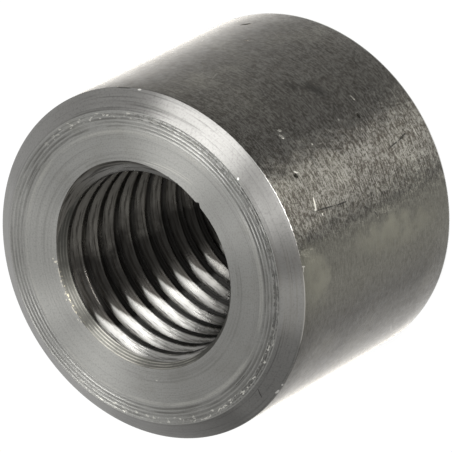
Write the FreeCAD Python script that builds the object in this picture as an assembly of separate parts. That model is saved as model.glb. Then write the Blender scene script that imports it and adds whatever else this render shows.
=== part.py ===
"""Weld coupling: a short steel sleeve, bevelled for welding and tapped right through.

The sleeve stands on its plain end. The origin is the centre of that end, +Z runs
along the bore, and the bevelled end is on top. All sizes are in millimetres and
all angles in degrees.
"""
import FreeCAD
import Part
import math
import os

# Sleeve, turned from round bar
outer_diameter = 33.0
sleeve_length = 25.0
plain_edge_break = 0.15

# Weld bevel round the top end, its angle measured from the end face
bevel_depth = 1.36
bevel_angle = 37.5

# Coarse metric thread, right-hand and with one start
thread_diameter = 20.0
thread_pitch = 2.5
flank_angle = 60.0
crest_clearance = 0.15
root_clearance = 0.1

# Angle round the bore, from +X, at which a groove breaks through the top face
groove_exit_angle = 102.0

# Countersink at each end of the bore, wider than the thread's crests
countersink_width = 0.7
countersink_angle = 90.0

# Pitches that the tap runs past each end, and how deep its ridge sits in its core
tap_overrun = 1.0
ridge_seat = 0.2


outer_radius = outer_diameter / 2
bevel_width = bevel_depth / math.tan(math.radians(bevel_angle))

# The thread's basic triangle gives the radii of its crests and roots
half_flank = math.radians(flank_angle / 2)
triangle_height = thread_pitch / (2 * math.tan(half_flank))
pitch_radius = thread_diameter / 2 - 3 / 8 * triangle_height
crest_radius = thread_diameter / 2 - 5 / 8 * triangle_height + crest_clearance
root_radius = thread_diameter / 2 + root_clearance

mouth_radius = crest_radius + countersink_width
countersink_depth = countersink_width / math.tan(math.radians(countersink_angle / 2))

centre = FreeCAD.Vector(0, 0, 0)
up = FreeCAD.Vector(0, 0, 1)


def turned(points, sweep=360):
    """Turn an outline of (radius, height) points about the Z axis."""
    corners = [FreeCAD.Vector(radius, 0, height) for radius, height in points]
    outline = Part.makePolygon(corners + [corners[0]])
    return Part.Face(outline).revolve(centre, up, sweep)


def half_blank():
    """Half of the turned bar: broken edge below, weld bevel on top, no bore yet."""
    return turned([
        (0, 0),
        (outer_radius - plain_edge_break, 0),
        (outer_radius, plain_edge_break),
        (outer_radius, sleeve_length - bevel_depth),
        (outer_radius - bevel_width, sleeve_length),
        (0, sleeve_length),
    ], sweep=180)


def groove_half_width(radius):
    """Half the groove's width along the axis: a quarter pitch at the pitch radius."""
    return thread_pitch / 4 - (radius - pitch_radius) * math.tan(half_flank)


def tap_ridge():
    """The ridge that cuts the groove: a trapezium carried along a right-hand helix."""
    seat_radius = crest_radius - ridge_seat
    seat = groove_half_width(seat_radius)
    root = groove_half_width(root_radius)
    outline = Part.makePolygon([
        FreeCAD.Vector(seat_radius, 0, -seat),
        FreeCAD.Vector(root_radius, 0, -root),
        FreeCAD.Vector(root_radius, 0, root),
        FreeCAD.Vector(seat_radius, 0, seat),
        FreeCAD.Vector(seat_radius, 0, -seat),
    ])
    pitches_below_top = math.ceil(sleeve_length / thread_pitch + tap_overrun)
    height = (pitches_below_top + tap_overrun) * thread_pitch
    helix = Part.makeHelix(thread_pitch, height, pitch_radius)
    ridge = Part.Wire(helix.Edges).makePipeShell([outline], True, True)
    ridge.rotate(centre, up, groove_exit_angle)
    ridge.translate(up * (sleeve_length - pitches_below_top * thread_pitch))
    return ridge


def tap():
    """The whole tap: a core that leaves the thread's crests, with the ridge round it."""
    overrun = tap_overrun * thread_pitch
    core = Part.makeCylinder(crest_radius, sleeve_length + 2 * overrun, up * -overrun)
    return core.fuse(tap_ridge())


def countersinks():
    """A cone for each end of the bore, the upper one mirrored from the lower."""
    lower = turned([
        (0, 0),
        (mouth_radius, 0),
        (crest_radius, countersink_depth),
        (0, countersink_depth),
    ])
    upper = lower.mirror(up * (sleeve_length / 2), up)
    return [lower, upper]


def weld_coupling():
    """Tap each half by itself, so that no crest is longer than half a turn, and join them."""
    thread = tap()
    front = half_blank().cut(thread)
    back_blank = half_blank()
    back_blank.rotate(centre, up, 180)
    back = back_blank.cut(thread)
    return front.fuse(back).cut(countersinks())


os.makedirs("parts", exist_ok=True)
coupling = weld_coupling()
print("solids", len(coupling.Solids), "faces", len(coupling.Faces), "valid", coupling.isValid())
print("crest radius", round(crest_radius, 4), "root radius", round(root_radius, 4))
print("mouth radius", round(mouth_radius, 4), "bevel width", round(bevel_width, 4))
coupling.Solids[0].exportStep("parts/weld_coupling.step")
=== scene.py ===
import bpy
import math
from mathutils import Matrix, Vector, noise


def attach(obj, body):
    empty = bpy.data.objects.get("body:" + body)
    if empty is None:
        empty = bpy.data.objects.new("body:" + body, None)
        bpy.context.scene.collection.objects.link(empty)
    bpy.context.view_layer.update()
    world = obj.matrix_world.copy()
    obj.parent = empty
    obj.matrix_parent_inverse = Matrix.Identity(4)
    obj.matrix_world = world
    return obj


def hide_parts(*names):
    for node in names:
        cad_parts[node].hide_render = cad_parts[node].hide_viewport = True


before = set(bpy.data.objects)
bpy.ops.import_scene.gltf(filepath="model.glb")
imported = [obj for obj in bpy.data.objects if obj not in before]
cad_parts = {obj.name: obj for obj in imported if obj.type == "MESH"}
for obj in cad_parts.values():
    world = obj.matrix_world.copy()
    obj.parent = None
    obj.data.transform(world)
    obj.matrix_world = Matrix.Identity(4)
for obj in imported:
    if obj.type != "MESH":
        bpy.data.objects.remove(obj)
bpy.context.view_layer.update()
mm = 0.001
weldGap = 0.002  # millimetres: points that are closer than this become one

# the sleeve's own sizes, in millimetres and degrees
# its outer radius is a hair under the solid's 16.5, so that the mesh stays inside the solid's box
sleeve = {
    "outerRadius": 16.494, "length": 25.0, "bevelDepth": 1.36, "bevelAngle": 37.5, "edgeBreak": 0.15,
    "crestRadius": 8.7968, "rootRadius": 10.1, "mouthWidth": 0.7,
    "threadRadius": 10.0, "pitch": 2.5, "flankAngle": 60.0, "grooveExit": 102.0,
}
bevelWidth = sleeve["bevelDepth"] / math.tan(math.radians(sleeve["bevelAngle"]))
faceRadius = sleeve["outerRadius"] - bevelWidth
mouthRadius = sleeve["crestRadius"] + sleeve["mouthWidth"]
wallTop = sleeve["length"] - sleeve["bevelDepth"]


def clearSelection():
    if bpy.context.object and bpy.context.object.mode != "OBJECT":
        bpy.ops.object.mode_set(mode="OBJECT")
    bpy.ops.object.select_all(action="DESELECT")


def pick(piece):
    clearSelection()
    piece.select_set(True)
    bpy.context.view_layer.objects.active = piece


def addModifier(piece, kind, settings):
    pick(piece)
    modifier = piece.modifiers.new(kind.lower(), kind)
    for name, value in settings.items():
        setattr(modifier, name, value)
    bpy.ops.object.modifier_apply(modifier=modifier.name)


def drawOutline(name, points):
    # one vertex, pulled along the (radius, height) points in the XZ plane
    clearSelection()
    bpy.ops.mesh.primitive_plane_add(size=mm)
    outline = bpy.context.object
    outline.name = name
    bpy.ops.object.mode_set(mode="EDIT")
    bpy.ops.mesh.merge(type="CENTER")
    bpy.ops.transform.translate(value=(points[0][0] * mm, 0, points[0][1] * mm))
    for here, there in zip(points, points[1:]):
        step = ((there[0] - here[0]) * mm, 0, (there[1] - here[1]) * mm)
        bpy.ops.mesh.extrude_region_move(TRANSFORM_OT_translate={"value": step})
    bpy.ops.object.mode_set(mode="OBJECT")
    return outline


def tidyShell(piece, weld=weldGap):
    pick(piece)
    bpy.ops.object.mode_set(mode="EDIT")
    bpy.ops.mesh.select_all(action="SELECT")
    if weld:
        bpy.ops.mesh.remove_doubles(threshold=weld * mm)
    bpy.ops.mesh.normals_make_consistent(inside=False)
    bpy.ops.object.mode_set(mode="OBJECT")


def softCorner(before, corner, after, reach, cuts):
    # a small rounding, as a curve from one side of the corner to the other
    def towards(other):
        gap = math.dist(corner, other)
        return [corner[k] + (other[k] - corner[k]) * reach / gap for k in (0, 1)]
    start, end = towards(before), towards(after)
    points = []
    for i in range(cuts + 1):
        t = i / cuts
        points.append(tuple(
            (1 - t) ** 2 * start[k] + 2 * t * (1 - t) * corner[k] + t * t * end[k] for k in (0, 1)
        ))
    return points


def softOutline(corners, reaches, cuts):
    # an open outline whose inner corners are rounded by the reaches given
    points = [corners[0]]
    for before, corner, after, reach in zip(corners, corners[1:], corners[2:], reaches):
        points += softCorner(before, corner, after, reach, cuts)
    return points + [corners[-1]]


def between(start, end, count):
    # points on a straight run, without its ends
    return [tuple(start[k] + (end[k] - start[k]) * i / count for k in (0, 1)) for i in range(1, count)]


def smoothStep(low, high, value):
    t = min(1, max(0, (value - low) / (high - low)))
    return t * t * (3 - 2 * t)


def azimuthGap(azimuth, centre):
    return (azimuth - centre + 180) % 360 - 180


# blank: the turned bar with its faced end, tool marks and burrs
blankShape = {
    "steps": 400, "coreRadius": 6.0, "cornerReach": 0.05, "cornerCuts": 3, "breakCuts": 4,
    "wallRows": 8, "bevelRows": 6, "faceRows": 10, "ringRows": 56, "ringBandStart": 12.7,
    "smoothAngle": 28.0, "reliefFrom": 8.0, "reliefInset": 0.02, "topSlack": 0.001,
    # rings of the facing tool: spacing, one ridge's radius, depth, and how far they lie off the axis
    "feed": 0.363, "ridgeAt": 13.08, "feedDepth": 0.055, "ringShift": -0.1,
    "bandStart": (12.85, 13.25), "bandEnd": (14.55, 14.7),
    # unevenness of the rings, round the face and across it
    "driftScale": (3.2, 0.9), "driftTurn": 0.10, "driftDepth": (0.85, 0.6),
    "waveDepth": 0.012, "waveScale": 1.1,
    # two rows of short burrs as radius and turn, each burr's size, and the azimuths without them
    "tickRows": [(14.32, 0.0), (14.56, 4.2)], "tickDepth": 0.06, "tickGap": 10.0, "tickJitter": 3.4,
    "tickHeight": (0.6, 0.9), "tickLength": 0.11, "tickWidth": 0.10, "tickless": [(118, 135), (255, 275)],
}


def blankOutline():
    s = blankShape
    outer, top, core = sleeve["outerRadius"], sleeve["length"], s["coreRadius"]
    reach, cuts = s["cornerReach"], s["cornerCuts"]
    arm, foot = 3, 1  # only the direction of these two counts
    lowEdge = softCorner((outer - arm, 0), (outer, 0), (outer, arm), sleeve["edgeBreak"], s["breakCuts"])
    wall = between((outer, sleeve["edgeBreak"]), (outer, wallTop), s["wallRows"])
    wallCorner = softCorner((outer, foot), (outer, wallTop), (faceRadius, top), reach, cuts)
    bevel = between((outer, wallTop), (faceRadius, top), s["bevelRows"])
    faceCorner = softCorner((outer, wallTop), (faceRadius, top), (core, top), reach, cuts)
    band = between((faceRadius - reach, top), (s["ringBandStart"], top), s["ringRows"])
    face = between((s["ringBandStart"], top), (core, top), s["faceRows"])
    points = [(core, 0)] + lowEdge + wall + wallCorner + bevel + faceCorner + band
    return points + [(s["ringBandStart"], top)] + face + [(core, top), (core, 0)]


def burrHeight(azimuth, radius):
    # short burrs that the tool left near the bevel, all round but for the far left
    s = blankShape
    start, end = s["tickless"]
    burred = 1 - smoothStep(*start, azimuth) * (1 - smoothStep(*end, azimuth))
    least, spread = s["tickHeight"]
    height = 0
    for row, (rowRadius, rowTurn) in enumerate(s["tickRows"]):
        slot = round((azimuth - rowTurn) / s["tickGap"])
        jitter = noise.noise(Vector((slot * 3.7, row * 9.1, 0.5)))  # another value for each burr
        place = slot * s["tickGap"] + rowTurn + s["tickJitter"] * jitter
        gap = azimuthGap(azimuth, place) * math.radians(1) * radius
        across = math.exp(-((radius - rowRadius) / s["tickLength"]) ** 2)
        along = math.exp(-(gap / s["tickWidth"]) ** 2)
        height += burred * s["tickDepth"] * max(0, least + spread * jitter) * across * along
    return height


def faceRelief(x, y):
    # how far the faced end lies below its plane, in millimetres
    s = blankShape
    radius = math.hypot(x, y)
    azimuth = math.degrees(math.atan2(y, x)) % 360
    ringRadius = math.hypot(x - s["ringShift"], y)
    roundScale, acrossScale = s["driftScale"]
    drift = noise.noise(Vector((x / radius * roundScale, y / radius * roundScale, radius * acrossScale)))
    phase = (ringRadius - s["ridgeAt"]) / s["feed"] + s["driftTurn"] * drift
    valley = 1 - (2 * (phase % 1) - 1) ** 2
    band = smoothStep(*s["bandStart"], radius) * (1 - smoothStep(*s["bandEnd"], radius))
    mean, spread = s["driftDepth"]
    depth = s["feedDepth"] * band * valley * (mean + spread * drift)
    depth += s["waveDepth"] * band * noise.noise(Vector((x * s["waveScale"], y * s["waveScale"], 4.0)))
    return max(0.0, depth - burrHeight(azimuth, radius))


def turnBlank():
    s = blankShape
    blank = drawOutline("weldCouplingSteel", blankOutline())
    pick(blank)
    bpy.ops.object.mode_set(mode="EDIT")
    bpy.ops.mesh.select_all(action="SELECT")
    bpy.ops.mesh.spin(steps=s["steps"], angle=math.tau, center=(0, 0, 0), axis=(0, 0, 1))
    bpy.ops.object.mode_set(mode="OBJECT")
    tidyShell(blank)
    for vertex in blank.data.vertices:
        x, y, z = (value / mm for value in vertex.co)
        onTop = z > sleeve["length"] - s["topSlack"]
        if onTop and s["reliefFrom"] < math.hypot(x, y) < faceRadius - s["reliefInset"]:
            vertex.co.z -= faceRelief(x, y) * mm
    print("blank turned", len(blank.data.vertices))
    return blank


# tap: the thread as a solid, cut away from the blank
tapShape = {
    "steps": 150, "crestRounding": 0.16, "rootRounding": 0.085, "cuts": 4, "overrun": 1.0, "spareTurns": 2,
    "trimSlack": 0.0001,
}


def threadOutline():
    # one pitch of the thread, from mid crest to mid crest
    s = tapShape
    pitch, crest, root = sleeve["pitch"], sleeve["crestRadius"], sleeve["rootRadius"]
    slope = math.tan(math.radians(sleeve["flankAngle"] / 2))
    pitchRadius = sleeve["threadRadius"] - 3 / 8 * pitch / (2 * slope)
    def half(radius):
        return pitch / 4 - (radius - pitchRadius) * slope
    corners = [
        (crest, -pitch / 2), (crest, -half(crest)), (root, -half(root)),
        (root, half(root)), (crest, half(crest)), (crest, pitch / 2),
    ]
    reaches = [s["crestRounding"], s["rootRounding"], s["rootRounding"], s["crestRounding"]]
    return softOutline(corners, reaches, s["cuts"])


def cutTap():
    s = tapShape
    pitch = sleeve["pitch"]
    turns = math.ceil(sleeve["length"] / pitch + 2 * s["overrun"]) + s["spareTurns"]
    grooveHeight = sleeve["length"] - pitch * sleeve["grooveExit"] / 360
    start = grooveHeight - pitch * (turns - s["spareTurns"])
    tap = drawOutline("tap", [(radius, height + start) for radius, height in threadOutline()])
    addModifier(tap, "SCREW", {
        "axis": "Z", "angle": math.tau, "screw_offset": pitch * mm, "iterations": turns, "steps": s["steps"],
        "render_steps": s["steps"], "use_merge_vertices": True, "merge_threshold": weldGap * mm,
    })
    tidyShell(tap)
    for height, upwards in ((-s["overrun"], False), (sleeve["length"] + s["overrun"], True)):
        pick(tap)
        bpy.ops.object.mode_set(mode="EDIT")
        bpy.ops.mesh.select_all(action="SELECT")
        bpy.ops.mesh.bisect(
            plane_co=(0, 0, height * mm), plane_no=(0, 0, 1), use_fill=True,
            clear_outer=upwards, clear_inner=not upwards, threshold=s["trimSlack"] * mm,
        )
        bpy.ops.object.mode_set(mode="OBJECT")
    tidyShell(tap, weld=0)
    print("tap made", len(tap.data.vertices))
    return tap


# countersinks, the upper one with a torn rim where the groove's land is thin
sinkShape = {
    "reach": 1.5, "above": 1.0, "steps": 400, "rimWander": 0.012, "wanderScale": 9,
    # azimuth, half width in degrees, and depth in millimetres
    "tears": [
        (38.9, 1.3, 0.26), (43.5, 0.9, 0.08), (48.3, 1.2, 0.14), (51.2, 1.5, -0.08), (54.6, 1.3, 0.28),
        (57.8, 1.3, -0.10), (60.9, 1.1, 0.36), (65.5, 1.2, 0.12), (71.5, 1.2, 0.10),
    ],
}


def cutCountersink(upper):
    s = sinkShape
    below, above = mouthRadius - s["reach"], mouthRadius + s["above"]
    middle = (s["above"] - s["reach"]) / 2
    clearSelection()
    bpy.ops.mesh.primitive_cone_add(
        vertices=s["steps"], depth=(s["reach"] + s["above"]) * mm,
        radius1=(below if upper else above) * mm, radius2=(above if upper else below) * mm,
        location=(0, 0, (sleeve["length"] + middle if upper else -middle) * mm),
    )
    sink = bpy.context.object
    sink.name = "sinkUpper" if upper else "sinkLower"
    bpy.ops.object.transform_apply(location=True, rotation=True, scale=True)
    for vertex in sink.data.vertices:
        azimuth = math.degrees(math.atan2(vertex.co.y, vertex.co.x)) % 360
        turned = Vector((vertex.co.x, vertex.co.y, 0)).normalized()
        push = s["rimWander"] * noise.noise(turned * s["wanderScale"])
        if upper:
            for centre, width, depth in s["tears"]:
                push += depth * math.exp(-(azimuthGap(azimuth, centre) / width) ** 2)
        vertex.co += turned * push * mm
    return sink


def makeCoupling():
    blank = turnBlank()
    for tool in (cutTap(), cutCountersink(True), cutCountersink(False)):
        addModifier(blank, "BOOLEAN", {"object": tool, "operation": "DIFFERENCE", "solver": "EXACT"})
        bpy.data.objects.remove(tool)
    tidyShell(blank)
    pick(blank)
    bpy.ops.object.shade_smooth_by_angle(angle=math.radians(blankShape["smoothAngle"]))
    print("coupling cut", len(blank.data.vertices), "vertices")
    return blank


# shader kit: a socket that takes part in Python expressions, and one maker of nodes
class Wire:
    def __init__(self, sheet, socket):
        self.sheet, self.socket = sheet, socket

    def maths(self, operation, *values):
        return self.sheet.node("ShaderNodeMath", {"operation": operation}, dict(enumerate(values)))

    def __add__(self, other):
        return self.maths("ADD", self, other)

    def __radd__(self, other):
        return self.maths("ADD", other, self)

    def __sub__(self, other):
        return self.maths("SUBTRACT", self, other)

    def __rsub__(self, other):
        return self.maths("SUBTRACT", other, self)

    def __mul__(self, other):
        return self.maths("MULTIPLY", self, other)

    def __rmul__(self, other):
        return self.maths("MULTIPLY", other, self)

    def __truediv__(self, other):
        return self.maths("DIVIDE", self, other)

    def __rtruediv__(self, other):
        return self.maths("DIVIDE", other, self)

    def __pow__(self, other):
        return self.maths("POWER", self, other)

    def __rpow__(self, other):
        return self.maths("POWER", other, self)

    def __lt__(self, other):
        return self.maths("LESS_THAN", self, other)

    def __gt__(self, other):
        return self.maths("GREATER_THAN", self, other)

    def __abs__(self):
        return self.maths("ABSOLUTE", self)

    def largest(self, other):
        return self.maths("MAXIMUM", self, other)

    def sine(self):
        return self.maths("SINE", self)

    def cosine(self):
        return self.maths("COSINE", self)

    def ripple(self, power):
        # a wave from 0 to 1, with crests that are narrower the higher the power
        return (self.sine() * 0.5 + 0.5) ** power


class Sheet:
    def __init__(self, owner):
        owner.use_nodes = True
        self.tree = owner.node_tree
        self.tree.nodes.clear()

    def node(self, kind, settings=None, values=None, output=0):
        made = self.tree.nodes.new(kind)
        for name, value in (settings or {}).items():
            setattr(made, name, value)
        for name, value in (values or {}).items():
            if isinstance(value, Wire):
                self.tree.links.new(value.socket, made.inputs[name])
            elif isinstance(value, tuple) and made.inputs[name].type == "RGBA":
                made.inputs[name].default_value = (*value, 1)
            else:
                made.inputs[name].default_value = value
        return Wire(self, made.outputs[output] if made.outputs else None)

    def blend(self, first, second, factor):
        # colours, with the factor from 0 to 1
        settings = {"data_type": "RGBA", "clamp_factor": True}
        mixed = self.node("ShaderNodeMix", settings, {"Factor": factor}, 2)
        made = mixed.socket.node
        for name, value in (("A", first), ("B", second)):
            socket = [one for one in made.inputs if one.name == name and one.type == "RGBA"][0]
            if isinstance(value, Wire):
                self.tree.links.new(value.socket, socket)
            else:
                socket.default_value = (*value, 1)
        return mixed

    def vector(self, x, y, z):
        return self.node("ShaderNodeCombineXYZ", {}, {0: x, 1: y, 2: z})

    def split(self, vector):
        parts = self.node("ShaderNodeSeparateXYZ", {}, {0: vector}).socket.node
        return (Wire(self, parts.outputs[i]) for i in range(3))

    def grain(self, place, scale, detail, roughness):
        return self.node("ShaderNodeTexNoise", {"noise_dimensions": "3D"},
                         {"Vector": place, "Scale": scale, "Detail": detail, "Roughness": roughness})

    def rise(self, value, low, high):
        # 0 below low, 1 above high, smooth between
        return self.node("ShaderNodeMapRange", {"interpolation_type": "SMOOTHSTEP", "clamp": True},
                         {0: value, 1: low, 2: high, 3: 0.0, 4: 1.0})

    def share(self, value, low, high, most):
        return self.rise(value, low, high) * most

    def belt(self, value, start, end):
        # 1 where the value lies between the two slopes, each given as its low and high ends
        return self.rise(value, *start) * (1 - self.rise(value, *end))


# crumbs in dried oil on the left of the hole's rim
rimCrumbs = {
    "grain": (0.55, 4.6, 7.0, 2, 0.6), "edge": (0.54, 0.62), "places": [(176, 185, 2), (-185, -147, 4)],
    "radius": 9.52, "fade": (0.06, 0.20), "share": 0.8,
}


class Steel(Sheet):
    # every steel finish starts from the place on the sleeve, in millimetres and degrees
    def __init__(self, name):
        self.material = bpy.data.materials.new(name)
        super().__init__(self.material)
        place = self.node("ShaderNodeTexCoord", output=3)
        self.place = self.node("ShaderNodeVectorMath", {"operation": "SCALE"}, {0: place, "Scale": 1 / mm})
        self.x, self.y, self.z = self.split(self.place)
        self.radius = (self.x * self.x + self.y * self.y) ** 0.5
        self.azimuth = self.y.maths("ARCTAN2", self.y, self.x) * (180 / math.pi)
        middle, soft = sleeve["length"] / 2, 0.5
        self.upper = self.rise(self.z, middle - soft, middle + soft)  # 1 on the bevelled half, 0 below

    def window(self, low, high, soft, share=1.0):
        # azimuths from low to high, from +X and up to 180 either way, with soft ends
        return self.belt(self.azimuth, (low - soft, low + soft), (high - soft, high + soft)) * share

    def windows(self, places):
        shown = 0
        for place in places:
            shown = self.window(*place).largest(shown)
        return shown

    def drawnGrain(self, level, along, across, detail, roughness):
        # noise drawn out along the surface, with its rows set by a radius or a height
        place = self.vector(self.x * along, self.y * along, level * across)
        return self.grain(place, 1.0, detail, roughness)

    def roundGrain(self, around, across, offset, detail, roughness):
        # noise that runs round the axis
        place = self.vector(self.azimuth * around, self.radius * across, offset)
        return self.grain(place, 1.0, detail, roughness)

    def marks(self, places, height, wander, soft=0.5, waver=1.6):
        # uneven marks, the strongest of them at each point
        # each place holds an azimuth, a height, a half length, a half width and a turn
        shown = 0
        for azimuth, level, length, width, turn in places:
            c, d = math.cos(math.radians(turn)), math.sin(math.radians(turn))
            over = (self.azimuth - azimuth) * self.radius * (math.pi / 180)
            rise = height - level
            alongIt = (over * c + rise * d) / length
            acrossIt = (rise * c - over * d) / width + (wander - 0.5) * waver
            mark = 1 - self.rise(alongIt * alongIt + acrossIt * acrossIt, soft, 1.0)
            shown = mark.largest(shown)
        return shown

    def crumbsAtRim(self):
        s = rimCrumbs
        grain = self.rise(self.roundGrain(*s["grain"]), *s["edge"]) * self.windows(s["places"])
        return grain * (1 - self.rise(abs(self.radius - s["radius"]), *s["fade"])) * self.upper * s["share"]

    def finish(self, look, colour, rough, relief, more=None):
        # bare turned metal, its fine lines running round the axis
        depth = look["relief"] * mm
        bump = self.node("ShaderNodeBump", {}, {"Height": relief, "Distance": depth, "Strength": 1.0})
        surface = self.node("ShaderNodeBsdfPrincipled", {}, {
            "Base Color": colour, "Metallic": 1.0, "Roughness": rough, "Normal": bump,
            "Anisotropic": look["anisotropy"], "Anisotropic Rotation": 0.25, **(more or {}),
        })
        self.node("ShaderNodeOutputMaterial", {}, {"Surface": surface})
        return self.material


# faced end: concentric lines of the facing tool, darker in its outer rings
# noise is given as its density per millimetre or degree, any offset, detail and roughness,
# an edge as the values where it starts and ends, and a third number there is its strength
facedLook = {
    "colour": (0.38, 0.378, 0.36), "stain": (0.30, 0.296, 0.27), "dark": (0.13, 0.127, 0.118),
    "paintedLight": (0.52, 0.517, 0.49), "chatter": (0.05, 0.048, 0.044), "burrAndGlint": (0.62, 0.61, 0.56),
    "crumb": (0.92, 0.88, 0.76), "roughness": 0.42, "roughSpread": 0.12, "anisotropy": 0.85, "relief": 0.010,
    "fine": (0.06, 9, 3, 0.6), "fineEdge": (0.50, 0.74, 0.30), "turned": (0.25, 2.2, 3, 0.6),
    "cloud": (0.28, 4, 0.6), "cloudEdge": (0.45, 0.75, 0.6),
    "tooth": (6.0, 2, 0.6), "toothEdge": (0.44, 0.76, 0.30),
    # where light and highlights are painted, and where shade is painted: azimuths, soft ends and strength
    "leftFrom": (132, 158), "leftTo": (-172, -132), "wedges": [(38, 84, 15), (-150, -118, 13)],
    "paintedLightShare": (0.75, 0.65), "calm": (0.5, 0.6), "darkened": (-92, -18, 14, 0.28),
    # rings, as the radii where each starts and ends
    "innerRings": [(9.9, 10.0), (10.7, 11.0)], "innerShare": 0.35, "ringEdge": (0.30, 0.62, 0.8),
    "paleRing": [(12.5, 12.7), (12.85, 13.05)], "paleShare": 0.35, "paleEdge": (0.35, 0.6),
    # chatter and burrs near the bevel
    "row": [(13.95, 14.1), (14.55, 14.68)], "rowGap": 0.21, "rowSharpness": 2, "chattered": (-62, 84, 8),
    "squiggle": (0.15, 1.7, 0.0, 2, 0.6), "squiggleEdge": (0.015, 0.050), "squiggleShare": 0.40,
    "dots": (0.75, 1.3, 5.0, 1, 0.5), "dotEdge": (0.50, 0.58, 0.75),
    "burrs": (0.42, 3.4, 3.0, 2, 0.6), "burrEdge": (0.57, 0.62),
    "burred": [(-135, -24, 6), (78, 124, 4), (-24, 78, 4, 0.25)],
    # azimuth, radius, half length, half width, turn: millimetres and degrees
    "chips": [(31.4, 14.62, 0.10, 0.07, 0), (-94.7, 10.58, 0.12, 0.05, 0)],
    "crumbs": [
        (176.3, 9.72, 0.24, 0.12, 70), (174.8, 9.98, 0.10, 0.08, 0), (-178.5, 9.55, 0.50, 0.05, 3),
        (-172.6, 9.60, 0.16, 0.08, 20), (-165.5, 9.62, 0.16, 0.08, 40), (-162.2, 9.80, 0.10, 0.06, 0),
        (-156.0, 9.58, 0.40, 0.05, 2), (-150.0, 9.75, 0.12, 0.05, 0),
    ],
    # arcs by the upper rim of the hole: painted glints
    "paintedGlintArcs": [(60.0, 10.50, 2.9, 0.065, -3), (56.0, 10.76, 2.2, 0.045, -3), (68.0, 10.22, 1.8, 0.045, -2)],
    "glintShare": 0.6,
}


def facedSteel():
    sheet, s, b = Steel("facedSteel"), facedLook, blankShape
    fine, turned = (sheet.drawnGrain(sheet.radius, *s[one]) for one in ("fine", "turned"))
    cloud, tooth = (sheet.grain(sheet.place, *s[one]) for one in ("cloud", "tooth"))
    colour = sheet.blend(s["colour"], s["stain"], sheet.share(cloud, *s["cloudEdge"]))
    # painted light on the left and painted highlights in two wedges, painted shade at the lower right
    left = sheet.rise(sheet.azimuth, *s["leftFrom"]).largest(1 - sheet.rise(sheet.azimuth, *s["leftTo"]))
    wedge = sheet.windows(s["wedges"])
    onLeft, onWedge = s["paintedLightShare"]
    colour = sheet.blend(colour, s["paintedLight"], (left * onLeft).largest(wedge * onWedge))
    colour = sheet.blend(colour, s["dark"], sheet.window(*s["darkened"]))
    # a pale ring, and the same rings as in the mesh with painted shade in their valleys, less of it where
    # light and highlights are painted
    pale = sheet.belt(sheet.radius, *s["paleRing"]) * s["paleShare"]
    colour = sheet.blend(colour, s["burrAndGlint"], pale * sheet.rise(turned, *s["paleEdge"]))
    shifted = sheet.x - b["ringShift"]
    ring = ((shifted * shifted + sheet.y * sheet.y) ** 0.5 - b["ridgeAt"]) / b["feed"]
    valley = 0.5 - (ring * math.tau).cosine() * 0.5
    inner = sheet.belt(sheet.radius, *s["innerRings"]) * s["innerShare"]
    onLeft, onWedge = s["calm"]
    band = sheet.belt(sheet.radius, b["bandStart"], b["bandEnd"]).largest(inner)
    band = band * (1 - (left * onLeft).largest(wedge * onWedge))
    paintedRingShade = valley * band * sheet.share(turned, *s["ringEdge"])
    colour = sheet.blend(colour, s["dark"], sheet.share(fine, *s["fineEdge"]).largest(paintedRingShade))
    # dark chatter and bright burrs near the bevel, none on the far left, and painted glints on arcs by the
    # hole
    row = sheet.belt(sheet.radius, *s["row"])
    squiggle = 1 - sheet.rise(abs(sheet.roundGrain(*s["squiggle"]) - 0.5), *s["squiggleEdge"])
    dots = sheet.share(sheet.roundGrain(*s["dots"]), *s["dotEdge"])
    rows = (sheet.radius * (math.tau / s["rowGap"])).ripple(s["rowSharpness"])
    spots = (squiggle * s["squiggleShare"]).largest(dots * rows)
    colour = sheet.blend(colour, s["chatter"], spots * row * sheet.window(*s["chattered"]) * sheet.upper)
    colour = sheet.blend(colour, s["dark"], sheet.share(tooth, *s["toothEdge"]))
    burrs = sheet.rise(sheet.roundGrain(*s["burrs"]), *s["burrEdge"]) * row * sheet.windows(s["burred"])
    chips, covered, paintedGlintArcs = (sheet.marks(s[one], sheet.radius, turned) for one in ("chips", "crumbs", "paintedGlintArcs"))
    # the arcs are painted glints
    bright = burrs.largest(chips).largest(paintedGlintArcs * s["glintShare"])
    colour = sheet.blend(colour, s["burrAndGlint"], bright * sheet.upper)
    colour = sheet.blend(colour, s["crumb"], sheet.crumbsAtRim().largest(covered * sheet.upper))
    rough = s["roughness"] + (fine - 0.5) * s["roughSpread"]
    return sheet.finish(s, colour, rough, fine + turned)


# bevel and countersinks: the same tool work on a slope, with lines that run round it
bevelLook = {
    "colour": (0.25, 0.246, 0.235), "dark": (0.09, 0.088, 0.083), "warm": (0.28, 0.23, 0.16),
    "bright": (0.75, 0.74, 0.70), "crumb": (0.50, 0.47, 0.38),
    "roughness": 0.32, "anisotropy": 0.75, "relief": 0.007, "rowsPerMm": 7.0, "ridgeShare": 0.0,
    # painted light in pale and painted shade in darkened: azimuths from and to, soft ends, strength
    "pale": [(-22, -5, 5, 0.18)],
    "darkened": [(-118, -62, 5, 0.5), (-2, 15, 5, 0.42), (13, 36, 5, 0.24), (100, 150, 5, 0.18)],
    # azimuth, radius, half length, half width, turn: millimetres and degrees
    "chips": [
        (-46.3, 16.38, 0.30, 0.10, 10), (-43.0, 16.42, 0.13, 0.08, 0), (81.6, 16.40, 0.22, 0.08, 0),
        (34.0, 14.84, 0.14, 0.08, 20),
    ],
    "scars": [(-49.8, 15.4, 0.60, 0.06, 138), (87.5, 16.44, 0.9, 0.05, 0)],
}
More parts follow.
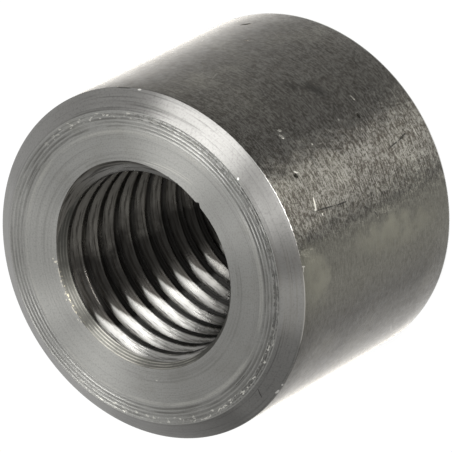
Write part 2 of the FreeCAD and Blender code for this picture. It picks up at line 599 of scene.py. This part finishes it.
sinkLook = {
    "colour": (0.14, 0.138, 0.125), "dark": (0.04, 0.039, 0.034), "warm": (0.14, 0.138, 0.125),
    "bright": (0.55, 0.53, 0.47), "crumb": (0.42, 0.38, 0.28),
    "roughness": 0.36, "anisotropy": 0.6, "relief": 0.012, "rowsPerMm": 9.0, "ridgeShare": 0.6,
    # ridges the tool left, with painted highlights, strongest in one stretch
    "ridgeGap": 0.19, "ridgeSharpness": 4, "ridgeEdge": (0.34, 0.60),
    "ridged": (-150, -64, 8), "ridgedLeast": 0.25,
    # painted shade on the left of the countersink
    "pale": [], "darkened": [(-185, -142, 5, 0.6), (140, 185, 5, 0.6)], "chips": [], "scars": [],
}
slopeLook = {
    "along": 0.08, "detail": 4, "detailRoughness": 0.7, "lineEdge": (0.50, 0.72, 0.7),
    "cloud": (0.35, 4, 0.6), "tooth": (5.5, 2, 0.6), "toothEdge": (0.45, 0.75, 0.35),
    "sparkle": (2.6, 2, 0.5), "warmed": (-25, 6, 5), "warmEdge": (0.42, 0.62, 0.12),
    "roughSpread": 0.1, "scarShare": 0.9,
    # bare metal and a painted highlight on the outer edge: the radii where it starts, and two stretches of
    # it, the second as painted glints
    "edge": (16.42, 16.47), "bareAndPaintedHighlight": (-26, -3, 2, 0.5),
    "sparkling": (2, 36, 3), "sparkleEdge": (0.44, 0.58, 0.35),
}


def slopeSteel(name, s):
    sheet, k = Steel(name), slopeLook
    lines = sheet.drawnGrain(sheet.z, k["along"], s["rowsPerMm"], k["detail"], k["detailRoughness"])
    cloud, tooth, sparkle = (sheet.grain(sheet.place, *k[one]) for one in ("cloud", "tooth", "sparkle"))
    colour = sheet.blend(s["colour"], s["dark"], sheet.share(lines, *k["lineEdge"]))
    colour = sheet.blend(colour, s["warm"], sheet.window(*k["warmed"]) * sheet.share(lines, *k["warmEdge"]))
    colour = sheet.blend(colour, s["dark"], sheet.share(tooth, *k["toothEdge"]))
    # stretches of painted light and painted shade
    for place in s["pale"]:
        colour = sheet.blend(colour, s["bright"], sheet.window(*place))
    for place in s["darkened"]:
        colour = sheet.blend(colour, s["dark"], sheet.window(*place))
    # bare metal and a painted highlight along the outer edge, painted glints, bare chips, and painted
    # highlights on the ridges that the tool left
    spots = sheet.window(*k["sparkling"]) * sheet.share(sparkle, *k["sparkleEdge"])
    edge = sheet.rise(sheet.radius, *k["edge"]) * sheet.window(*k["bareAndPaintedHighlight"]).largest(spots)
    bareAndPaintedHighlight = edge.largest(sheet.marks(s["chips"], sheet.radius, sparkle))
    # painted highlights on the ridges that the tool left
    if s["ridgeShare"]:
        ridges = (sheet.z * (math.tau / s["ridgeGap"])).ripple(s["ridgeSharpness"])
        ridges = ridges * sheet.rise(cloud, *s["ridgeEdge"])
        bareAndPaintedHighlight = bareAndPaintedHighlight.largest(ridges * sheet.window(*s["ridged"]).largest(s["ridgedLeast"]) * s["ridgeShare"])
    if s["scars"]:
        scars = sheet.marks(s["scars"], sheet.radius, sparkle)
        colour = sheet.blend(colour, s["dark"], scars * k["scarShare"])
    colour = sheet.blend(colour, s["bright"], bareAndPaintedHighlight)
    colour = sheet.blend(colour, s["crumb"], sheet.crumbsAtRim())
    return sheet.finish(s, colour, s["roughness"] + (cloud - 0.5) * k["roughSpread"], lines)


# thread: flanks with lines along the helix, painted shade in the roots, deep down and on one side, and dirt
# in blotches
threadLook = {
    "colour": (0.32, 0.315, 0.30), "line": (0.06, 0.058, 0.052), "shadeAndDirtGrey": (0.145, 0.137, 0.121),
    "black": (0.014, 0.012, 0.010), "roughness": 0.28, "roughSpread": 0.2, "rootRough": 0.1,
    "anisotropy": 0.85, "relief": 0.016, "lines": (4, 0.65), "lineRows": 6,
    "lineWaves": 1.6, "lineDrift": 0.3,
    "streakEdge": (0.50, 0.62, 0.7), "blotch": (0.5, 3, 0.6), "blotchEdge": (0.60, 0.80, 0.35),
    "root": (9.35, 9.95), "rootShare": 0.9, "deep": (2, 15), "deepShare": 0.6,
    # the painted shade on one side lies between two azimuths, counted from 0 to 360, and ends in points
    # along each flank
    "shadeStart": (97, 134), "shadeEnd": (209, 215), "pointRadius": 9.5, "pointLength": 22,
    "shadeShare": (0.72, 0.4), "blackShadeStart": (168, 190), "blackShadeWander": 50, "blackShadeShare": 0.9,
}


def threadSteel():
    sheet, s = Steel("threadSteel"), threadLook
    turn = (sheet.z / sleeve["pitch"] - sheet.azimuth / 360) * math.tau
    waves, drift = s["lineWaves"], s["lineDrift"]
    along = sheet.vector(sheet.radius * s["lineRows"], turn.sine() * waves + sheet.x * drift,
                         turn.cosine() * waves + sheet.y * drift)
    lines = sheet.grain(along, 1.0, *s["lines"])
    blotch = sheet.grain(sheet.place, *s["blotch"])
    # painted shade towards the roots
    root = sheet.rise(sheet.radius, *s["root"])
    compass = sheet.azimuth + (sheet.azimuth < 0) * 360
    # the painted shade ends in points along the middle of each flank
    reach = compass - abs(sheet.radius - s["pointRadius"]) * s["pointLength"]
    covered = 1 - sheet.rise(reach, *s["shadeEnd"])
    least, spread = s["shadeShare"]
    sideShade = sheet.rise(compass, *s["shadeStart"]) * covered * (least + lines * spread)
    # painted shade deeper down the bore
    deep = (1 - sheet.rise(sheet.z, *s["deep"])) * s["deepShare"]
    # painted shade in the roots, on one side and deep down, with dirt in blotches
    shadeAndDirt = (root * s["rootShare"]).largest(sideShade).largest(sheet.share(blotch, *s["blotchEdge"])).largest(deep)
    streaks = sheet.share(lines, *s["streakEdge"])
    colour = sheet.blend(s["colour"], s["line"], streaks)
    # black painted shade on one side
    blackShade = sheet.rise(compass + (blotch - 0.5) * s["blackShadeWander"], *s["blackShadeStart"]) * covered
    shadeAndDirtTone = sheet.blend(s["shadeAndDirtGrey"], s["black"], streaks.largest(blackShade * s["blackShadeShare"]))
    colour = sheet.blend(colour, shadeAndDirtTone, shadeAndDirt)
    rough = s["roughness"] + (blotch - 0.5) * s["roughSpread"] + root * s["rootRough"]
    return sheet.finish(s, colour, rough, lines)


# wall: the bar's own dark skin, mottled, with scratches, flecks and small dents
wallLook = {
    "dark": (0.013, 0.0110, 0.0082), "light": (0.060, 0.0580, 0.0510), "warm": (0.155, 0.150, 0.122),
    "pit": (0.003, 0.003, 0.002), "fleck": (0.18, 0.175, 0.155), "bareAndPaintedHighlight": (0.45, 0.43, 0.39),
    "olive": (0.185, 0.180, 0.140), "edgeTint": (1.0, 0.94, 0.84), "dust": (1.0, 0.89, 0.72),
    "roughness": 0.36, "roughSpread": 0.15, "pitRough": 0.3, "anisotropy": 1.0, "relief": 0.045,
    "coat": 1.06, "coatSpread": 2.4, "coatIor": 1.25, "coatRoughness": 0.09,
    "coatPaintedShade": (40, 84, 9, 0.2), "coatPit": 0.8, "coatStain": 0.3, "sheen": 0.22, "sheenRoughness": 0.2,
    # noise: density along and across the wall, or all round, then detail and roughness
    "dashes": (1.5, 6.5, 3, 0.65), "streak": (0.9, 0.35, 4, 0.7), "tiny": (1.6, 2.4, 2, 0.5),
    "speckle": (3.2, 3, 0.6), "cloud": (0.16, 3, 0.55), "waves": (0.35, 2, 0.5), "uneven": (0.6, 4, 0.6),
    "tooth": (6.5, 2, 0.6), "mottle": (0.55, 0.30, 0.15), "skinTooth": 0.25,
    "toothDepth": 0.3, "waveDepth": 3.5, "scratchDepth": 0.5,
    # the skin's light and dark, coarse and calm, and the azimuths where it is calm
    "coarseEdge": (0.44, 0.58), "calmEdge": (0.30, 0.72), "calmStart": (-150, -90), "calmEnd": (-2, 8),
    # warm patches: their noise, where it is fainter, and one stretch all warm, which is painted light beside
    # the lamp's streak
    "cloudEdge": (0.42, 0.74, 0.6), "evenFront": (5, 66, 5, 0.7), "front": (-52, 112, 12), "evenBack": 0.25,
    "warmed": (-20, 5, 8), "warmGap": (4, 8.5, 1.5, 0.7), "warmShare": (0.36, 0.6),
    "oliveEdge": (0.10, 0.75), "oliveGap": (4, 30, 4, 0.6), "stainEdge": (0.30, 0.52, 0.8),
    "brightEdge": (0.74, 0.80, 0.5), "blackEdge": (0.20, 0.26), "blackShare": 0.6,
    "hairShare": 0.35, "pitShare": 0.85, "scratchShare": 0.8,
    # bare metal and a painted highlight on the upper edge: the heights where it starts, and two stretches of
    # it, the second as painted glints
    "edge": (23.58, 23.62), "bareAndHighlightStretch": (-26, -3, 2, 0.8),
    "sparkling": (2, 36, 3), "sparkleEdge": (0.46, 0.58, 0.3),
    # azimuth, height, half length, half width, turn: millimetres and degrees
    "flecks": [
        (15.0, 19.4, 0.70, 0.11, -17), (13.2, 19.6, 0.20, 0.12, 80), (10.9, 18.9, 0.16, 0.10, 0),
        (40.2, 18.1, 0.26, 0.15, 70), (38.2, 18.45, 0.34, 0.17, 20), (26.2, 19.75, 0.30, 0.10, 60),
        (38.6, 6.85, 0.36, 0.10, 10), (31.6, 15.65, 0.12, 0.11, 0), (34.5, 10.5, 0.14, 0.11, 0),
        (-47.0, 5.2, 1.0, 0.11, 40),
    ],
    "hairlines": [
        (1.5, 19.8, 2.0, 0.03, -6), (8.5, 19.5, 1.0, 0.04, 4), (-2.0, 16.9, 1.1, 0.03, -30),
        (69.5, 17.0, 1.0, 0.05, -72), (73.5, 17.5, 0.7, 0.05, -80), (74.5, 5.2, 1.4, 0.05, -35),
        (80.0, 11.0, 0.8, 0.05, -50), (21.0, 2.0, 0.9, 0.05, 5), (33.5, 1.8, 0.7, 0.04, -8),
        (-30.0, 14.0, 1.5, 0.03, 30),
    ],
    "burrs": [(-0.9, 23.44, 0.26, 0.09, 75), (-1.6, 23.5, 0.34, 0.06, -12)],
    "patches": [(-5.5, 21.9, 3.9, 2.6, 8), (-5.5, 9.0, 8.0, 2.0, 84)],
    "pits": [
        (32.8, 7.84, 0.34, 0.24, 0), (89.3, 3.7, 0.60, 0.30, 15), (25.3, 20.05, 0.36, 0.24, 60),
        (79.0, 8.0, 0.3, 0.12, 20),
    ],
    "scratches": [
        (12.2, 18.2, 1.45, 0.09, 82), (11.1, 15.8, 0.9, 0.075, 86), (19.5, 5.8, 0.9, 0.09, 97),
        (20.4, 4.1, 0.8, 0.11, 102), (2.6, 11.4, 0.5, 0.07, 30), (27.0, 16.8, 0.8, 0.06, 8),
        (60.0, 14.6, 0.6, 0.06, -10),
    ],
    "stains": [(47.6, 10.2, 2.3, 0.9, 40), (52.0, 12.0, 0.9, 0.5, 10)],
}


def wallSteel():
    sheet, s = Steel("wallSteel"), wallLook
    dashes, streak, tiny = (sheet.drawnGrain(sheet.z, *s[one]) for one in ("dashes", "streak", "tiny"))
    speckle, cloud, waves, uneven, tooth = (
        sheet.grain(sheet.place, *s[one]) for one in ("speckle", "cloud", "waves", "uneven", "tooth")
    )
    ofDashes, ofSpeckle, ofStreak = s["mottle"]
    mottle = dashes * ofDashes + speckle * ofSpeckle + streak * ofStreak
    flecks, hairlines, burrs, pits, scratches = (
        sheet.marks(s[one], sheet.z, speckle)
        for one in ("flecks", "hairlines", "burrs", "pits", "scratches")
    )
    stains, patches = (sheet.marks(s[one], sheet.z, uneven, 0.0) for one in ("stains", "patches"))
    # the skin is calmer where the bar was wiped, left of the lamp's streak
    calm = sheet.belt(sheet.azimuth, s["calmStart"], s["calmEnd"])
    skin = mottle * (1 - s["skinTooth"]) + tooth * s["skinTooth"]
    tone = sheet.rise(skin, *s["coarseEdge"]) * (1 - calm) + sheet.rise(skin, *s["calmEdge"]) * calm
    colour = sheet.blend(s["dark"], s["light"], tone)
    even = sheet.window(*s["evenFront"]).largest((1 - sheet.window(*s["front"])) * s["evenBack"])
    warmPatchAndLight = sheet.share(cloud, *s["cloudEdge"]) * (1 - even)
    # one stretch warm and lighter: painted light beside the lamp's streak
    warmPatchAndLight = warmPatchAndLight.largest(sheet.window(*s["warmed"]) * (1 - sheet.window(*s["warmGap"])))
    least, spread = s["warmShare"]
    colour = sheet.blend(colour, s["warm"], warmPatchAndLight * (least + tone * spread))
    olive = patches * sheet.rise(uneven, *s["oliveEdge"]) * (1 - sheet.window(*s["oliveGap"]))
    colour = sheet.blend(colour, s["olive"], olive)
    colour = sheet.blend(colour, s["pit"], stains * sheet.share(uneven, *s["stainEdge"]))
    bright = flecks.largest(hairlines * s["hairShare"]).largest(sheet.share(tiny, *s["brightEdge"]))
    colour = sheet.blend(colour, s["fleck"], bright)
    black = (1 - sheet.rise(tiny, *s["blackEdge"])) * s["blackShare"]
    black = black.largest(pits * s["pitShare"]).largest(scratches * s["scratchShare"])
    colour = sheet.blend(colour, s["pit"], black)
    # bare metal and a painted highlight along the upper edge with painted glints, and bright burrs
    spots = sheet.window(*s["sparkling"]) * sheet.share(speckle, *s["sparkleEdge"])
    edge = sheet.rise(sheet.z, *s["edge"]) * sheet.window(*s["bareAndHighlightStretch"]).largest(spots)
    colour = sheet.blend(colour, s["bareAndPaintedHighlight"], edge.largest(burrs))
    rough = s["roughness"] + (mottle - 0.5) * s["roughSpread"] + pits * s["pitRough"]
    # the coat is thinner on pits and stains, and over one stretch as painted shade
    darkened = (pits * s["coatPit"]).largest(stains * s["coatStain"]).largest(sheet.window(*s["coatPaintedShade"]))
    relief = mottle + tooth * s["toothDepth"] + waves * s["waveDepth"] + flecks - pits
    return sheet.finish(s, colour, rough, relief - scratches * s["scratchDepth"], {
        "Coat Weight": (s["coat"] + (mottle - 0.5) * s["coatSpread"]) * (1 - darkened),
        "Coat Roughness": s["coatRoughness"], "Coat IOR": s["coatIor"], "Specular Tint": s["edgeTint"],
        "Sheen Weight": s["sheen"], "Sheen Roughness": s["sheenRoughness"], "Sheen Tint": s["dust"],
    })


# which finish a face gets: lengths in millimetres, and slopes as parts of its normal
finishPlaces = {
    "flat": 0.9, "endSlack": 0.1, "threadSlack": 0.02, "wallSlope": 0.5,
    "bevelSlack": 0.06, "bevelSlope": 0.3,
    "sinkSlack": 0.06, "sinkReach": 0.4, "sinkSlope": (0.6, 0.8), "sinkInward": 0.6,
}
finishOrder = ["faced", "bevel", "thread", "wall", "sink"]


def finishOf(polygon):
    s = finishPlaces
    middle = polygon.center / mm
    radius = math.hypot(middle.x, middle.y)
    outward = polygon.normal.dot(Vector((middle.x, middle.y, 0)).normalized())
    slope = abs(polygon.normal.z)
    fromEnd = min(middle.z, sleeve["length"] - middle.z)
    least, most = s["sinkSlope"]
    inSink = fromEnd < mouthRadius - radius + s["sinkSlack"] and radius < mouthRadius + s["sinkReach"]
    if inSink and least < slope < most and outward < -s["sinkInward"]:
        return "sink"
    onEnd = slope > s["flat"] and fromEnd < s["endSlack"]
    if radius < sleeve["rootRadius"] + s["threadSlack"] and not onEnd:
        return "thread"
    if slope > s["flat"]:
        return "faced"
    if radius > faceRadius - s["bevelSlack"] and middle.z > wallTop and slope > s["bevelSlope"]:
        return "bevel"
    return "wall" if outward > s["wallSlope"] else "faced"


def dressCoupling(coupling):
    coupling.data.materials.clear()
    finishes = {
        "faced": facedSteel(), "bevel": slopeSteel("bevelSteel", bevelLook), "thread": threadSteel(),
        "wall": wallSteel(), "sink": slopeSteel("sinkSteel", sinkLook),
    }
    for name in finishOrder:
        coupling.data.materials.append(finishes[name])
    for polygon in coupling.data.polygons:
        polygon.material_index = finishOrder.index(finishOf(polygon))
    print("finishes laid on")


# studio: pale floor, soft lamps, and the camera at the photograph's angle
studio = {
    "floorSize": 6.0, "floorDrop": 0.00002, "floorColour": (0.86, 0.86, 0.85),
    "floorLift": 0.9, "floorGlow": 1.06, "shadowReach": 0.03, "shadowEdge": (0.0, 0.55), "shadowSamples": 8,
    "white": (1.0, 1.0, 1.0), "worldGlow": 0.5,
    # the air's brightness, and by how much its ceiling and one side are darker
    "air": 0.80, "horizon": (0.0, 0.2), "ceiling": (0.84, 0.95), "ceilingDark": 0.68,
    "side": (-0.95, -0.3), "sideDark": 0.42,
    "key": {"azimuth": 84, "elevation": 51, "distance": 0.5, "width": 0.38, "height": 0.27, "watts": 1.5},
    "band": {"azimuth": 17, "elevation": 8, "distance": 0.6, "width": 0.33, "height": 0.14, "watts": 11.6},
}
shot = {
    "azimuth": 22.393, "elevation": 50.171, "roll": -118.217, "distance": 0.56994,
    "right": 0.007409, "up": 0.003802, "lens": 509.17, "sensor": 36.0, "near": 0.01, "far": 20,
}


def towards(azimuth, elevation):
    a, e = math.radians(azimuth), math.radians(elevation)
    return Vector((math.cos(e) * math.cos(a), math.cos(e) * math.sin(a), math.sin(e)))


def placeLamp(name, lamp):
    aim = towards(lamp["azimuth"], lamp["elevation"])
    clearSelection()
    middle = Vector((0, 0, sleeve["length"] / 2 * mm))
    bpy.ops.object.light_add(type="AREA", location=aim * lamp["distance"] + middle)
    made = bpy.context.object
    made.name = name
    made.rotation_euler = aim.to_track_quat("Z", "Y").to_euler()
    made.data.shape = "RECTANGLE"
    made.data.size, made.data.size_y = lamp["width"], lamp["height"]
    made.data.energy = lamp["watts"]


def seenRays(sheet):
    # the rays that show the white background: to the camera, and mirrored in metal or through glass
    path = sheet.node("ShaderNodeLightPath").socket.node
    kinds = ("Camera", "Glossy", "Transmission")
    camera, glossy, through = (Wire(sheet, path.outputs[f"Is {kind} Ray"]) for kind in kinds)
    return camera.largest(glossy).largest(through)


def layFloor():
    s = studio
    clearSelection()
    bpy.ops.mesh.primitive_plane_add(size=s["floorSize"], location=(0, 0, -s["floorDrop"]))
    floor = bpy.context.object
    floor.name = "floor"
    finish = bpy.data.materials.new("paleFloor")
    sheet = Sheet(finish)
    samples, reach = {"samples": s["shadowSamples"]}, {"Distance": s["shadowReach"]}
    openness = sheet.node("ShaderNodeAmbientOcclusion", samples, reach, 1)
    paint = sheet.node("ShaderNodeBsdfDiffuse", {}, {"Color": s["floorColour"]})
    strength = s["floorGlow"] * sheet.rise(openness, *s["shadowEdge"])
    glow = sheet.node("ShaderNodeEmission", {}, {"Color": s["white"], "Strength": strength})
    mixed = sheet.node("ShaderNodeMixShader", {}, {0: seenRays(sheet) * s["floorLift"], 1: paint, 2: glow})
    sheet.node("ShaderNodeOutputMaterial", {}, {"Surface": mixed})
    floor.data.materials.append(finish)


def lightWorld():
    s = studio
    world = bpy.data.worlds.new("studioAir")
    bpy.context.scene.world = world
    sheet = Sheet(world)
    seen = seenRays(sheet)
    _, north, height = sheet.split(sheet.node("ShaderNodeTexCoord", output=0))
    # white at the horizon, plain above it, darker at the ceiling and on one side
    shade = 1 - (1 - s["air"]) * sheet.rise(height, *s["horizon"])
    shade = shade - s["ceilingDark"] * sheet.rise(height, *s["ceiling"])
    shade = shade - s["sideDark"] * (1 - sheet.rise(north, *s["side"]))
    strength = seen * shade + (1 - seen) * s["worldGlow"]
    back = sheet.node("ShaderNodeBackground", {}, {"Color": s["white"], "Strength": strength})
    sheet.node("ShaderNodeOutputWorld", {}, {"Surface": back})


def aimCamera():
    s = shot
    back = towards(s["azimuth"], s["elevation"])
    level = Vector((-back.y, back.x, 0)).normalized()
    lift = back.cross(level)
    roll = math.radians(s["roll"])
    right = level * math.cos(roll) + lift * math.sin(roll)
    up = back.cross(right)
    clearSelection()
    place = Vector((0, 0, sleeve["length"] * mm)) + right * s["right"] + up * s["up"] + back * s["distance"]
    bpy.ops.object.camera_add(location=place)
    camera = bpy.context.object
    camera.name = "photoCamera"
    camera.rotation_euler = Matrix((right, up, back)).transposed().to_euler()
    camera.data.lens, camera.data.sensor_width = s["lens"], s["sensor"]
    camera.data.clip_start, camera.data.clip_end = s["near"], s["far"]
    bpy.context.scene.camera = camera


bpy.context.scene.view_settings.view_transform = "Standard"
coupling = makeCoupling()
dressCoupling(coupling)
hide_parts("weld_coupling")
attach(coupling, "root")
layFloor()
lightWorld()
for name in ("key", "band"):
    placeLamp(name + "Lamp", studio[name])
aimCamera()
print("studio set")
